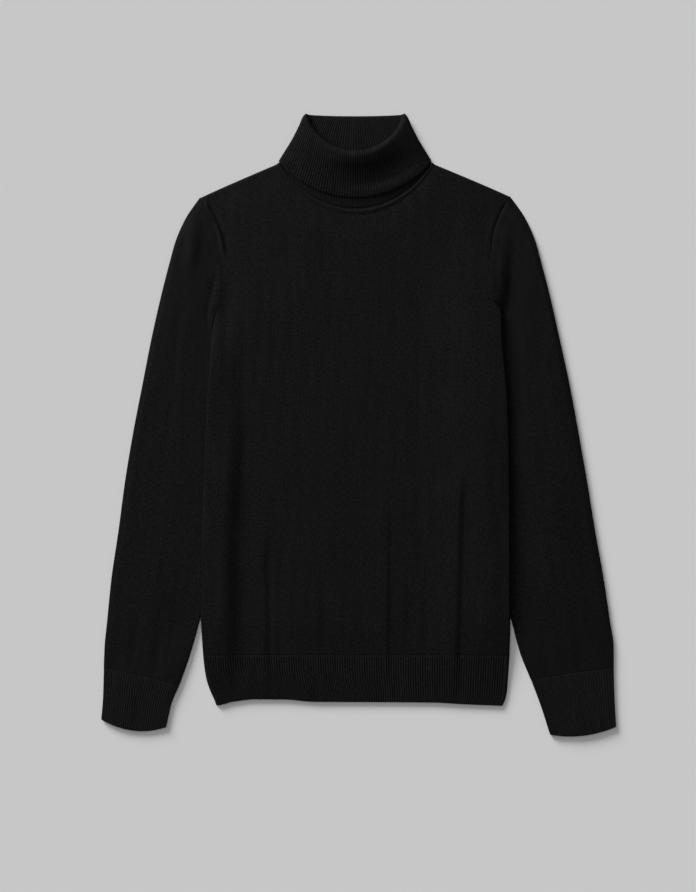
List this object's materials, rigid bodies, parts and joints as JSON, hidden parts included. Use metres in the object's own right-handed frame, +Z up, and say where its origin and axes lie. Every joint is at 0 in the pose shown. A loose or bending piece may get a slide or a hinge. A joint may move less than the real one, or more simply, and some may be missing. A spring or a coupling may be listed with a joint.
{
  "type": "turtleneck sweater",
  "caption": "Fine-gauge turtleneck sweater laid out flat with its front up, with a turned-down rib collar, rib cuffs and a rib hem.",
  "frame": {"origin": "middle of the sweater's outline, on the surface it lies on", "axes": "+Z up from the surface, +Y along the body towards the collar, +X towards the wearer's left sleeve"},
  "size_m": [0.6188, 0.7473, 0.0209],
  "materials": {
    "black_jersey": "matte fine plain knit",
    "black_rib": "matte fine rib knit"
  },
  "bodies": {
    "root": {"front_panel": "black_jersey", "back_panel": "black_jersey", "left_sleeve": "black_jersey", "right_sleeve": "black_jersey", "left_cuff": "black_rib", "right_cuff": "black_rib", "front_hem_rib": "black_rib", "back_hem_rib": "black_rib", "collar": "black_rib"}
  },
  "joints": []
}
